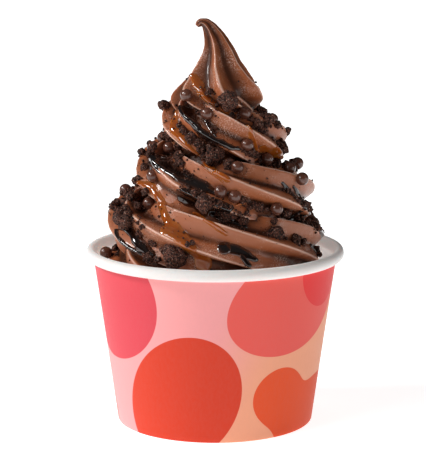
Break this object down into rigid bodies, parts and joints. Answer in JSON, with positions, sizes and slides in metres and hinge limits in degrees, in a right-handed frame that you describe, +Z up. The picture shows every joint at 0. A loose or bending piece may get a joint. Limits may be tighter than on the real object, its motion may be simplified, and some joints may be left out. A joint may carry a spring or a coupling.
{
  "type": "soft serve cup",
  "caption": "Tall chocolate soft serve swirl with a pulled tip, crunchy pearls, cookie pieces and two sauces, in a tapered paper cup with a rolled rim.",
  "frame": {"origin": "centre of the cup's foot, on the surface it stands on", "axes": "+Z up along the cup's axis; -Y is the front that the picture shows, +X its right"},
  "size_m": [0.115, 0.115, 0.1796],
  "materials": {
    "printed_paperboard": "satin coated paperboard, printed in plain rounded spots of pink, coral and orange",
    "white_paperboard": "satin coated white paperboard",
    "chocolate_soft_serve": "smooth milk chocolate ice cream with a moist sheen",
    "dark_cookie": "rough, crumbly dark cocoa cookie",
    "chocolate_pearl": "polished chocolate coating",
    "caramel_sauce": "clear glossy caramel",
    "chocolate_sauce": "very glossy dark sauce"
  },
  "bodies": {
    "root": {"cup_wall": "printed_paperboard", "cup_base": "white_paperboard", "ice_cream": "chocolate_soft_serve", "cookie_chunk_01": "dark_cookie", "cookie_chunk_02": "dark_cookie", "cookie_chunk_03": "dark_cookie", "cookie_chunk_04": "dark_cookie", "cookie_chunk_05": "dark_cookie", "cookie_chunk_06": "dark_cookie", "cookie_chunk_07": "dark_cookie", "cookie_chunk_08": "dark_cookie", "cookie_chunk_09": "dark_cookie", "cookie_chunk_10": "dark_cookie", "cookie_chunk_11": "dark_cookie", "cookie_chunk_12": "dark_cookie"}
  },
  "joints": []
}
